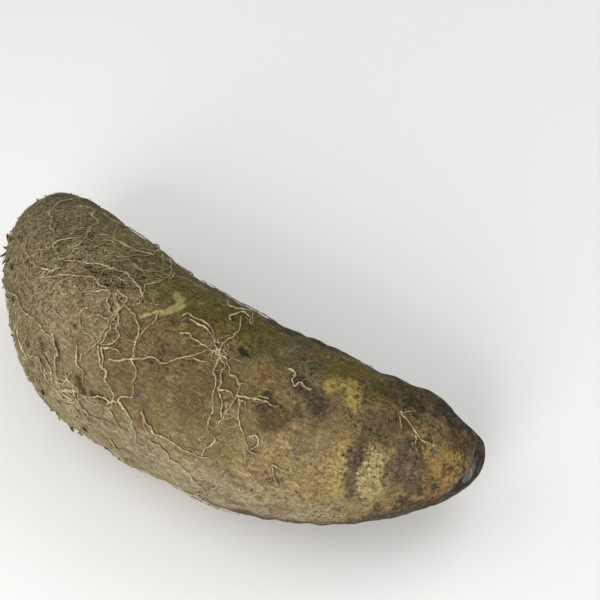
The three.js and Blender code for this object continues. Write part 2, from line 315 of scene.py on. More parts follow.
def shaken(tree, place, scale, amount):  # the place moved about by noise, for ragged edges
    colour = noiseValue(tree, place, scale, 3.0, output="Color")
    centred = calculateVector(tree, "SUBTRACT", colour, (0.5, 0.5, 0.5))
    return calculateVector(tree, "ADD", place, calculateVector(tree, "SCALE", centred, scale=amount))


def newMaterial(name):
    material = bpy.data.materials.new(name)
    material.use_nodes = True
    return material, material.node_tree, material.node_tree.nodes["Principled BSDF"]


def newObject(name, data):
    made = bpy.data.objects.new(name, data)
    bpy.context.scene.collection.objects.link(made)
    return made


skinTones = {
    "greyTan": tone(142, 126, 88),
    "ochre": tone(140, 114, 64),
    "rust": tone(130, 92, 44),
    "purpleBrown": tone(88, 70, 56),
    "pale": tone(184, 170, 130),
    "straw": tone(198, 182, 134),
    # dark specks of the skin, and also the painted shade of the holes in the web of roots
    "speckAndShade": tone(46, 37, 22),
    "tipRim": tone(34, 29, 20),
    "tipSpot": tone(50, 37, 18),
    "tipLight": tone(196, 164, 98),
    "glint": tone(206, 208, 200),
}

# broad patches of colour, as ovals on the map of the skin: centre and half widths in [along, around]
skinZones = {
    "headGreen": {"centre": (-92, -10), "size": (34, 48), "tone": tone(92, 92, 52), "strength": 0.85},
    "headTop": {"centre": (-116, -10), "size": (18, 60), "tone": tone(88, 84, 48), "strength": 0.7},
    "headFlank": {"centre": (-98, 62), "size": (34, 42), "tone": tone(104, 89, 60), "strength": 0.8},
    "headLower": {"centre": (-62, 62), "size": (26, 34), "tone": tone(132, 114, 80), "strength": 0.6},
    "ridge": {"centre": (-15, -48), "size": (66, 40), "tone": tone(108, 101, 44), "strength": 0.85},
    "webGreen": {"centre": (-26, -12), "size": (14, 20), "tone": tone(98, 92, 48), "strength": 0.7},
    "backOlive": {"centre": (40, -70), "size": (70, 34), "tone": tone(92, 82, 30), "strength": 0.85},
    "middleOlive": {"centre": (8, -14), "size": (26, 22), "tone": tone(104, 95, 16), "strength": 0.85},
    "upperOlive": {"centre": (40, -18), "size": (34, 22), "tone": tone(106, 94, 12), "strength": 0.9},
    "tipOlive": {"centre": (78, -14), "size": (22, 20), "tone": tone(116, 98, 14), "strength": 0.85},
    # the back ridge's own dark olive, made darker along the top edge with painted shadow
    "ridgeOliveAndShadow": {"centre": (50, -54), "size": (40, 20), "tone": tone(40, 33, 14), "strength": 0.9},
    "greenSheen": {"centre": (56, -10), "size": (14, 12), "tone": tone(98, 102, 68), "strength": 0.7},
    "pinkGrey": {"centre": (-26, 38), "size": (26, 26), "tone": tone(162, 140, 108), "strength": 0.75},
    "middleOchre": {"centre": (16, 30), "size": (30, 26), "tone": tone(126, 103, 64), "strength": 0.75},
    "yellowPatch": {"centre": (47, 20), "size": (6, 8), "tone": tone(148, 126, 66), "strength": 0.6},
    "lowerPale": {"centre": (8, 98), "size": (84, 28), "tone": tone(180, 165, 131), "strength": 0.82},
    "ochreLow": {"centre": (68, 66), "size": (24, 28), "tone": tone(172, 150, 104), "strength": 0.7},
    "brownPatch": {"centre": (56, 32), "size": (6, 8), "tone": tone(84, 68, 48), "strength": 0.75},
    "greyUpper": {"centre": (92, 22), "size": (9, 18), "tone": tone(100, 85, 60), "strength": 0.75},
    "paleBandA": {"centre": (78, 54), "size": (3, 24), "tone": tone(184, 160, 96), "strength": 0.75},
    "purpleBand": {"centre": (82.5, 54), "size": (2.2, 22), "tone": tone(90, 73, 58), "strength": 0.8},
    "paleBandB": {"centre": (88.5, 60), "size": (4.6, 24), "tone": tone(198, 178, 122), "strength": 0.85},
    "greyBand": {"centre": (99, 58), "size": (5.5, 24), "tone": tone(98, 81, 64), "strength": 0.8},
    "lowOchre": {"centre": (92, 90), "size": (7, 9), "tone": tone(166, 140, 84), "strength": 0.7},
    "tipOchre": {"centre": (110, 54), "size": (6.5, 24), "tone": tone(182, 146, 80), "strength": 0.88},
    "upperOchre": {"centre": (100, 24), "size": (3.4, 7), "tone": tone(164, 134, 72), "strength": 0.8},
    "tipNotch": {"centre": (100, -22), "size": (12, 22), "tone": tone(58, 49, 24), "strength": 0.85},
    "tipGreen": {"centre": (111, -6), "size": (8, 22), "tone": tone(38, 32, 17), "strength": 0.93},
    "tipBrown": {"centre": (116, 24), "size": (7, 15), "tone": tone(96, 62, 26), "strength": 0.85},
    "tipEdge": {"centre": (122, -18), "size": (9, 34), "tone": tone(28, 23, 13), "strength": 0.95},
    "tipUnder": {"centre": (108, 108), "size": (22, 20), "tone": tone(56, 41, 27), "strength": 0.9},
    "tipOrange": {"centre": (108, 84), "size": (4.5, 10), "tone": tone(160, 108, 54), "strength": 0.75},
    "underBrown": {"centre": (74, 124), "size": (44, 17), "tone": tone(72, 53, 36), "strength": 0.8},
    "farPale": {"centre": (-10, -128), "size": (84, 26), "tone": tone(162, 146, 110), "strength": 0.7},
    "farBrown": {"centre": (78, -112), "size": (26, 26), "tone": tone(106, 82, 54), "strength": 0.7},
}

# marks on the skin: lines through [along, around] places, half width and softness in millimetres.
# Fresh ones lie over the skin's own texture, and some of them have flecks.
skinMarks = {
    "darkPatch": {
        "lines": [[(61, 10), (68, 18), (70, 23)]],
        "radius": 4,
        "soft": 2.6,
        "tone": tone(70, 56, 50),
        "strength": 0.85,
    },
    # painted shade: near-black where the web of roots lies over hollows in the skin
    "webHollowShade": {
        "lines": [[(-40, 8), (-35, 8), (-31, 3), (-27, -2)], [(-27, 8), (-22, 5)]],
        "radius": 2.3,
        "soft": 1.4,
        "tone": tone(30, 28, 16),
        "strength": 0.93,
    },
    # painted shade in small hollows on the flank
    "flankHollowShade": {
        "lines": [
            [(-28, 54), (-24, 59)],
            [(-39, 80), (-35, 76)],
            [(-35, 60), (-32, 63)],
            [(-13, 62), (-9, 68)],
            [(-16, 74), (-12, 73)],
            [(-6, 65), (0, 63)],
        ],
        "radius": 1.5,
        "soft": 1.2,
        "tone": tone(50, 40, 22),
        "strength": 0.9,
    },
    "stemScar": {
        "lines": [[(-124.6, 0), (-124.4, 40)]],
        "radius": 6,
        "soft": 1.5,
        "tone": tone(84, 70, 46),
        "strength": 0.8,
    },
    "purpleDot": {
        "lines": [[(11, 50), (11, 52)]],
        "radius": 1,
        "soft": 1,
        "tone": tone(112, 64, 104),
        "strength": 0.75,
    },
    "streak": {
        "lines": [[(10, 21), (13, 25)]],
        "radius": 0.8,
        "soft": 0.7,
        "tone": tone(62, 48, 40),
        "strength": 0.85,
    },
    "greenSpot": {
        "lines": [[(38.5, 4), (40.5, 5)]],
        "radius": 1.5,
        "soft": 0.8,
        "tone": tone(30, 42, 26),
        "strength": 0.95,
        "fresh": True,
    },
    "scratchTail": {
        "lines": [[(-5, 12), (-1, 4), (2, 3)]],
        "radius": 0.8,
        "soft": 0.35,
        "tone": tone(200, 193, 130),
        "strength": 0.8,
        "fresh": True,
    },
    "scratch": {
        "lines": [[(1, 4), (3, -2), (3.6, -8), (0, -12), (-3, -14)]],
        "radius": 1.8,
        "soft": 0.6,
        "tone": tone(180, 174, 106),
        "fleck": tone(150, 140, 78),
        "strength": 0.9,
        "fresh": True,
    },
    "abrasion": {
        "lines": [[(70, 7), (73, 0), (78, -4), (80, 3), (80, 15)], [(77, 5), (78, 12)]],
        "radius": 2.5,
        "soft": 1.1,
        "tone": tone(184, 162, 86),
        "fleck": tone(108, 78, 38),
        "strength": 0.9,
        "fresh": True,
    },
    # painted highlights: small pale glints on the dark patch
    "glintSpots": {
        "lines": [
            [(69, 9), (69.3, 9)],
            [(68.6, 13), (69, 14)],
            [(67.5, 18), (68, 19)],
            [(72, 21), (72, 22)],
        ],
        "radius": 0.3,
        "soft": 0.45,
        "tone": tone(172, 164, 156),
        "strength": 0.8,
        "fresh": True,
    },
    "tipScar": {
        "lines": [[(121.5, 50), (118.5, 72), (115.5, 86)]],
        "radius": 4.4,
        "soft": 0.9,
        "tone": tone(30, 29, 23),
        "strength": 0.92,
        "fresh": True,
    },
    "tipScarFace": {
        "lines": [[(121.5, 54), (118, 68), (116.5, 78)]],
        "radius": 2.5,
        "soft": 1.1,
        "tone": tone(112, 112, 101),
        "strength": 0.8,
        "fresh": True,
    },
}


def markShare(tree, place, item):
    share = 0.0
    for line in item["lines"]:
        for start, end in zip(line, line[1:]):
            part = placeGroup(
                tree,
                "mark",
                Place=place,
                Start=skinPlace(start)[0] * mm,
                End=skinPlace(end)[0] * mm,
                Radius=item["radius"] * mm,
                Softness=item["soft"] * mm,
            )
            share = calculate(tree, "MAXIMUM", share, part)
    return calculate(tree, "MULTIPLY", share, item["strength"])


# how the skin looks: shares of colours, how contrast changes over it, and the noise that roughens it.
# A rise goes from one place along to another, and from one share to another.
skinLook = {
    "shade": 0.67,
    "ochreRise": (-45.0, 55.0, 0.0, 0.5),
    "ochreShare": 0.5,
    "zoneSoftness": 0.3,
    "rustRise": (-60.0, 60.0, 0.2, 0.6),
    "blotchRise": (20.0, 75.0, 0.25, 0.85),
    "wornShare": 0.45,
    "tipSpotRise": (84.0, 104.0, 0.0, 0.7),
    "tipFleckRise": (84.0, 104.0, 0.0, 0.5),
    "rimRise": (126.0, 131.0, 0.0, 0.85),
    "rimWaver": 14.0,
    "matShare": 0.62,
    "matElsewhere": 0.18,
    "matLossInCalm": -0.75,
    "holeShadeShare": 0.9,
    "contrast": 3.6,
    "contrastLossInCalm": -2.2,
    "fibreContrast": 0.9,
    "glintShare": 0.5,
    "shine": -0.4,
    "roughness": (0.85, 0.55),
    "heights": {"coarse": 2.0, "hairs": 0.5, "gaps": -0.5, "fibres": 0.8},
    "heightScales": {"fine": 950.0, "coarse": 240.0},
    "swirl": {"scale": 42.0, "reach": (20, 46, 0)},
    "ragged": {"scale": 140.0, "amount": 0.008},
    "crisp": {"scale": 420.0, "amount": 0.0022},
    "neat": [{"scale": 170.0, "amount": 0.0055}, {"scale": 480.0, "amount": 0.0026}],
    "freshRange": (0.36, 0.6, 0.6, 1.0),
    "tornScale": 120.0,
    "mottleScale": 640.0,
    "unevenScale": 85.0,
    "unevenRange": (0.36, 0.64, 0.55, 1.5),
    "fibreScale": 900.0,
    "fibreStretch": (0.026, 0.043, 0.043),
    "wideHairs": {"Scale": 240.0, "Width": 0.02},
    "thinHairs": {"Scale": 560.0, "Width": 0.034},
    "bump": {"Strength": 0.9, "Distance": 0.0006},
}

# patches of noise on the skin: scale, the noise at their edge and where they are full, and detail
skinPatches = {
    "ochre": (22.0, 0.4, 0.62, 4.0),
    "rust": (95.0, 0.55, 0.68, 5.0),
    "blotches": (120.0, 0.52, 0.64, 6.0),
    "worn": (160.0, 0.56, 0.7, 6.0),
    "tipSpots": (170.0, 0.53, 0.62, 6.0),
    "tipFlecks": (230.0, 0.56, 0.66, 5.0),
    "gaps": (560.0, 0.53, 0.62, 3.0),
    "holeShade": (300.0, 0.5, 0.58, 3.0),
    "freshFlecks": (460.0, 0.52, 0.6, 4.0),
    "glints": (330.0, 0.5, 0.72, 2.0),
    "gloss": (260.0, 0.5, 0.7, 4.0),
}

# where the fine texture changes: centre and half widths in [along, around], and softness
textureZones = {
    "mat": ((-62, 30), (52, 80), 0.5),
    "calm": ((20, 74), (62, 50), 0.5),
    "webAbove": ((-54, 2), (26, 28), 0.4),
    "webBelow": ((-46, 84), (20, 16), 0.4),
}


def makeSkinMaterial():
    material, tree, shader = newMaterial("yamSkin")
    look = skinLook
    place = addNode(tree, "TexCoord").outputs["Object"]
    flow = addNode(tree, "Attribute", attribute_name="skinFlow").outputs["Vector"]
    split = addNode(tree, "SeparateXYZ", {"Vector": flow}).outputs
    turn = calculate(tree, "ARCTAN2", split["Z"], split["Y"])
    along = calculate(tree, "MULTIPLY", split["X"], form["length"] / 2)
    around = calculate(tree, "MULTIPLY", turn, math.degrees(1))
    skinMap = addNode(tree, "CombineXYZ", {"X": along, "Y": around}).outputs[0]
    stirred = noiseValue(tree, place, look["swirl"]["scale"], 4.0, output="Color")
    swirl = calculateVector(tree, "SUBTRACT", stirred, (0.5, 0.5, 0.5))
    swirl = calculateVector(tree, "MULTIPLY", swirl, look["swirl"]["reach"])
    skinMap = calculateVector(tree, "ADD", skinMap, swirl)
    ragged = shaken(tree, place, **look["ragged"])
    crisp = shaken(tree, place, **look["crisp"])
    torn = noiseValue(tree, place, look["tornScale"], 5.0, 0.65)

    def patches(where, name):
        scale, low, high, detail = skinPatches[name]
        return placeGroup(tree, "patches", Place=where, Scale=scale, Low=low, High=high, Detail=detail)

    def oval(centre, size, softness):
        inputs = {"Centre": (*centre, 0), "Size": (*size, 1), "Ragged": torn, "Softness": softness}
        return placeGroup(tree, "zone", Map=skinMap, **inputs)

    def times(first, second):
        return calculate(tree, "MULTIPLY", first, second)

    def centred(value):
        return calculate(tree, "SUBTRACT", value, 0.5)

    def grey(value):
        return addNode(tree, "CombineColor", {"Red": value, "Green": value, "Blue": value}).outputs["Color"]

    # broad colour, then the named patches over it
    rise = stretch(tree, along, *look["ochreRise"])
    ochre = calculate(tree, "MULTIPLY_ADD", patches(place, "ochre"), look["ochreShare"], rise, clamp=True)
    colour = mixColour(tree, ochre, skinTones["greyTan"], skinTones["ochre"])
    for item in skinZones.values():
        share = times(oval(item["centre"], item["size"], look["zoneSoftness"]), item["strength"])
        colour = mixColour(tree, share, colour, item["tone"])

    # smaller blotches: rust and purple-brown, more of them towards the tip
    rust = times(patches(ragged, "rust"), stretch(tree, along, *look["rustRise"]))
    colour = mixColour(tree, rust, colour, skinTones["rust"])
    blotches = times(patches(ragged, "blotches"), stretch(tree, along, *look["blotchRise"]))
    colour = mixColour(tree, blotches, colour, skinTones["purpleBrown"])
    colour = mixColour(tree, times(patches(ragged, "worn"), look["wornShare"]), colour, skinTones["pale"])

    # spots of brown and ochre near the tip
    spots = times(patches(ragged, "tipSpots"), stretch(tree, along, *look["tipSpotRise"]))
    colour = mixColour(tree, spots, colour, skinTones["tipSpot"])
    flecks = times(patches(crisp, "tipFlecks"), stretch(tree, along, *look["tipFleckRise"]))
    colour = mixColour(tree, flecks, colour, skinTones["tipLight"])

    # the dark rim round the growing tip
    wavering = calculate(tree, "MULTIPLY_ADD", torn, look["rimWaver"], along)
    colour = mixColour(tree, stretch(tree, wavering, *look["rimRise"]), colour, skinTones["tipRim"])
    for item in skinMarks.values():
        if "fresh" not in item:
            colour = mixColour(tree, markShare(tree, crisp, item), colour, item["tone"])

    # the fine texture: a mat of hair-thin roots with dark gaps, thickest on the head and the flank
    calm = oval(*textureZones["calm"])
    mat = oval(*textureZones["mat"])
    matShare = calculate(tree, "MULTIPLY_ADD", mat, look["matShare"], look["matElsewhere"])
    matShare = times(matShare, calculate(tree, "MULTIPLY_ADD", calm, look["matLossInCalm"], 1.0))
    wideHairs = placeGroup(tree, "hairLines", Place=ragged, **look["wideHairs"])
    thinHairs = placeGroup(tree, "hairLines", Place=crisp, **look["thinHairs"])
    hairs = calculate(tree, "MAXIMUM", wideHairs, thinHairs)
    gaps = patches(crisp, "gaps")
    # painted shade: dark holes in the web of roots, where hollows lie under it
    web = calculate(tree, "MAXIMUM", oval(*textureZones["webAbove"]), oval(*textureZones["webBelow"]))
    holeShade = times(patches(crisp, "holeShade"), times(web, look["holeShadeShare"]))
    mottle = noiseValue(tree, place, look["mottleScale"], 6.0, 0.76)
    contrast = calculate(tree, "MULTIPLY_ADD", calm, look["contrastLossInCalm"], look["contrast"])
    rough = stretch(tree, noiseValue(tree, place, look["unevenScale"], 3.0), *look["unevenRange"])
    uneven = times(times(centred(mottle), contrast), rough)
    # the skin's own fibres run along it
    pulledOut = calculateVector(tree, "MULTIPLY", flow, look["fibreStretch"])
    fibres = noiseValue(tree, pulledOut, look["fibreScale"], 5.0, 0.65)
    uneven = calculate(tree, "MULTIPLY_ADD", centred(fibres), look["fibreContrast"], uneven)
    shade = grey(calculate(tree, "ADD", uneven, look["shade"], clamp=True))
    colour = mixColour(tree, 1.0, colour, shade, "MULTIPLY")
    colour = mixColour(tree, times(gaps, matShare), colour, skinTones["speckAndShade"])
    colour = mixColour(tree, holeShade, colour, skinTones["speckAndShade"])
    colour = mixColour(tree, times(hairs, matShare), colour, skinTones["straw"])

    # fresh marks over the texture, and the shine of the tip's scar
    neat = place
    for shake in look["neat"]:
        neat = shaken(tree, neat, **shake)
    freshShade = grey(stretch(tree, mottle, *look["freshRange"]))
    freshFlecks = patches(neat, "freshFlecks")
    freshShares = {}
    for name, item in skinMarks.items():
        if "fresh" in item:
            painted = mixColour(tree, freshFlecks, item["tone"], item.get("fleck", item["tone"]))
            painted = mixColour(tree, 1.0, painted, freshShade, "MULTIPLY")
            freshShares[name] = markShare(tree, neat, item)
            colour = mixColour(tree, freshShares[name], colour, painted)
    shiny = freshShares["tipScarFace"]
    glints = times(patches(neat, "glints"), times(shiny, look["glintShare"]))
    colour = mixColour(tree, glints, colour, skinTones["glint"])
    tree.links.new(colour, shader.inputs["Base Color"])

    roughness = stretch(tree, patches(place, "gloss"), 0.0, 1.0, *look["roughness"])
    roughness = calculate(tree, "MULTIPLY_ADD", shiny, look["shine"], roughness, clamp=True)
    tree.links.new(roughness, shader.inputs["Roughness"])
    shader.inputs["Specular IOR Level"].default_value = 0.25

    height = noiseValue(tree, place, look["heightScales"]["fine"], 5.0)
    coarse = noiseValue(tree, place, look["heightScales"]["coarse"], 5.0)
    layers = {"coarse": coarse, "hairs": hairs, "gaps": gaps, "fibres": fibres}
    for name, layer in layers.items():
        height = calculate(tree, "MULTIPLY_ADD", layer, look["heights"][name], height)
    bump = addNode(tree, "Bump", {"Height": height, **look["bump"]})
    tree.links.new(bump.outputs["Normal"], shader.inputs["Normal"])
    return material


# the skin's own fine relief, in millimetres
fineSkin = {
    "subdivisions": 7,
    "grainScale": 0.16,
    "grainHeight": 0.5,
    "flakeScale": 0.33,
    "flakeHeight": 1.3,
    "flakeGap": 0.18,
    "flakyShare": 0.15,
    "flakySides": (78, 104),
    "flakyEnd": (-40, 30),
    "shoulder": {"at": (111, -26), "radius": 10, "height": 1.9},
}
tipShoulder = plainSkinAt(fineSkin["shoulder"]["at"])[0]


def fineRelief(place, along, around):
    height = fineSkin["grainHeight"] * noise.fractal(place * fineSkin["grainScale"], 1.0, 2.0, 4)
    away = (place - tipShoulder).length / fineSkin["shoulder"]["radius"]
    height += fineSkin["shoulder"]["height"] * math.exp(-away * away)
    flaky = smoothStep(abs(around), *fineSkin["flakySides"]) * smoothStep(-along, *fineSkin["flakyEnd"])
    ragged = noise.noise(place * fineSkin["flakeScale"]) - fineSkin["flakeGap"]
    return height + fineSkin["flakeHeight"] * (fineSkin["flakyShare"] + flaky) * max(0, ragged)


def onSkin(at, lift=0):  # a point over the skin with its fine relief
    return skinPlace(at, lift + fineRelief(plainSkinAt(at)[0], *at))[0]


def makeTuberSkin():
    mesh = bpy.data.meshes.new("tuberSkin")
    piece = newObject("tuberSkin", mesh)
    ball = bmesh.new()
    bmesh.ops.create_icosphere(ball, subdivisions=fineSkin["subdivisions"], radius=1)
    flow = ball.verts.layers.float_vector.new("skinFlow")
    for vert in ball.verts:
        direction = vert.co.normalized()
        angle = math.atan2(-direction.y, direction.z)
        place, outward = plainSkin((1 + direction.x) / 2, angle)
        along = direction.x * form["length"] / 2
        place += outward * (relief(place) + fineRelief(place, along, math.degrees(angle)))
        for scar in form["scars"]:
            place = pressScar(place, scar)
        place.z = max(0, place.z)
        vert[flow] = (direction.x, math.cos(angle), math.sin(angle))
        vert.co = place * mm
    ball.to_mesh(mesh)
    ball.free()
    mesh.shade_smooth()
    mesh.materials.append(makeSkinMaterial())
    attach(piece, "root")
    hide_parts("tuber")
    return piece


makeTuberSkin()
print("tuber skin made")

# the roots, as the solids have them
roots = {
    "radius": 0.75,
    "branchRadius": 0.5,
    "step": 5.5,
    "skinGap": 0.45,
    "settleLength": 6,
    "swayWidth": (0.3, 0.8),
    "swaySpan": (11, 22),
    "archHeight": (0, 2),
    "archSpan": (16, 34),
    "branchSpacing": 36,
    "branchLength": (6, 15),
    "branchStart": (0.25, 0.9),
    "branchTurn": (0.5, 1.1),
    "branchSweep": (0, 1.2),
    "clearOfOthers": 2.6,
    "walkStride": 7,
    "walkEnds": (-114, 112),
    "walkSides": 128,
    "farCount": (3, 4),
    "farLength": (20, 44),
    "farTurn": (-0.4, 0.4),
    "farSweep": (-1, 1),
}

sprays = {
    "middle": [
        {
            "base": (-16, 9),
            "routes": [
                [(-24, 7), (-29, 11), (-34, 12), (-40, 17), (-47, 29), (-56, 41)],
                [(-23, 15), (-30, 19), (-30, 23)],
                [
                    (-15, 0), (-22, -2), (-28, -2), (-36, 4), (-41, 9),
                    (-47, 20), (-52, 29), (-66, 35), (-80, 35),
                ],
                [(-14, 20), (-13, 29), (-11, 41)],
                [(-5, 16), (0, 21), (3, 34), (6, 41), (8, 50), (8, 56), (3, 62), (-2, 69), (-10, 72)],
            ],
        },
        {
            "base": (-11, 41),
            "routes": [
                [(-8, 40), (-4, 37)],
                [(-8, 46), (-4, 53), (0, 55), (3, 62)],
                [(-17, 39), (-21, 38), (-25, 35), (-26, 31), (-24, 27)],
                [(-14, 44), (-16, 51), (-16, 56), (-12, 59), (-10, 65), (-12, 72)],
                [(-8, 38), (-6, 32), (-8, 26), (-10, 23)],
            ],
        },
        {
            "base": (-12, 72),
            "routes": [
                [(-21, 82), (-25, 80), (-28, 74), (-35, 72), (-40, 76), (-45, 82), (-50, 78)],
                [(-8, 79), (-5, 82), (2, 78), (10, 74)],
                [(-8, 77), (-5, 84), (1, 91), (5, 98), (10, 108)],
                [(-22, 84), (-25, 82), (-26, 76), (-28, 70), (-33, 68)],
                [(-23, 75), (-25, 67), (-26, 60), (-29, 57)],
            ],
        },
    ],
    "belly": [
        {
            "base": (14, 60),
            "routes": [
                [(19, 66), (29, 68), (37, 70), (44, 67)],
                [(37, 69), (40, 62), (41, 58), (40, 55)],
                [(17, 65), (18, 72), (21, 69), (18, 79)],
                [(9, 61), (7, 62)],
            ],
        },
    ],
    "star": [
        {
            "base": (28, 8),
            "routes": [
                [(22, 1), (16, -2), (10, -2)],
                [(25, 11), (20, 10), (13, 11)],
                [(26, 14), (22, 20), (17, 26), (13, 30)],
                [(30, 5), (31, -2), (31, -11)],
                [(33, 11), (37, 16), (40, 22), (43, 29), (50, 28), (56, 27)],
                [(35, 13), (35, 21), (36, 28), (40, 34), (41, 44), (40, 51)],
                [(34, 18), (33, 22), (36, 34), (36, 44), (36, 52)],
                [(43, 30), (46, 40), (47, 48), (50, 54), (52, 56), (53, 49)],
            ],
        },
    ],
    "crook": [
        {
            "base": (60, 63),
            "routes": [
                [(59, 56), (61, 50), (57, 48)],
                [(61, 70), (63, 80)],
                [(59, 64), (54, 64)],
                [(61, 66), (65, 66)],
            ],
        },
    ],
    "ridge": [
        {
            "base": (-29, -45),
            "routes": [
                [(-39, -46), (-36, -29), (-39, -10), (-40, 1)],
                [(-16, -24), (-14, -6)],
                [(-36, -30), (-43, -23), (-49, -16), (-54, -18), (-67, -28)],
            ],
        },
    ],
    "flank": [
        {
            "base": (-31, 53),
            "routes": [[(-37, 56), (-44, 57), (-52, 59), (-57, 58), (-67, 64), (-82, 76)]],
        },
    ],
    "crown": [{"base": (-79, 12), "routes": [[(-88, 10), (-92, 5), (-102, -10)]]}],
    "shoulder": [
        {
            "base": (-60, 5),
            "routes": [[(-62, -5), (-65, -10), (-71, -19), (-75, -18), (-86, -20)]],
        },
    ],
    "rim": [{"base": (25, -28), "routes": [[(28, -31), (34, -21)], [(20, -26), (15, -33)]]}],
    "squiggle": [{"base": (55, 4), "routes": [[(58, 6), (60, 12), (62, 12), (65, 13)]]}],
    "tip": [{"base": (95, 16), "routes": [[(97, 26), (99, 30), (104, 34)], [(92, 14), (88, 15)]]}],
}
farBases = [
    (-66, -62), (-90, -98), (-42, -98), (-8, -76), (4, -116),
    (40, -66), (66, -104), (-62, 108), (30, 112),
]


def clamp(value, low, high):
    return min(high, max(low, value))


def nearestWhole(value):
    return math.floor(value + 0.5)


def onRoute(route, u):  # a smooth line through the points of a route
    last = len(route) - 1
    i = min(int(u * last), last - 1)
    f = u * last - i
    four = [route[clamp(k, 0, last)] for k in (i - 1, i, i + 1, i + 2)]
    return tuple(
        b + 0.5 * f * (c - a + f * (2 * a - 5 * b + 4 * c - d + f * (3 * b - a - 3 * c + d)))
        for a, b, c, d in zip(*four)
    )


def routeLength(route):
    length = 0
    for before, after in zip(route, route[1:]):
        alongScale, aroundScale = skinScale(after)
        length += math.hypot((after[0] - before[0]) * alongScale, (after[1] - before[1]) * aroundScale)
    return length


# how the roots look: half thicknesses in millimetres, and how unevenly they run
rootLook = {
    "radius": 0.38,
    "branchRadius": 0.25,
    "thickSprays": {
        "middle": 0.42,
        "belly": 0.43,
        "star": 0.42,
        "crook": 0.44,
        "flank": 0.46,
        "crown": 0.42,
        "shoulder": 0.44,
        "squiggle": 0.46,
    },
    "tipShare": 0.4,
    "finePoints": 7,
    "closerStep": 0.7,
    "sink": 0.52,
    "highest": 1.4,
    "baseLift": -0.6,
    "bounce": 0.2,
    "wobble": 0.9,
    "wobbleScale": 0.13,
    "kink": 1,
    "kinkScale": 0.42,
    "knots": 0.9,
    "knotScale": 0.8,
    "seed": 7,
}
noise.seed_set(rootLook["seed"])  # without it, noise_vector differs from run to run

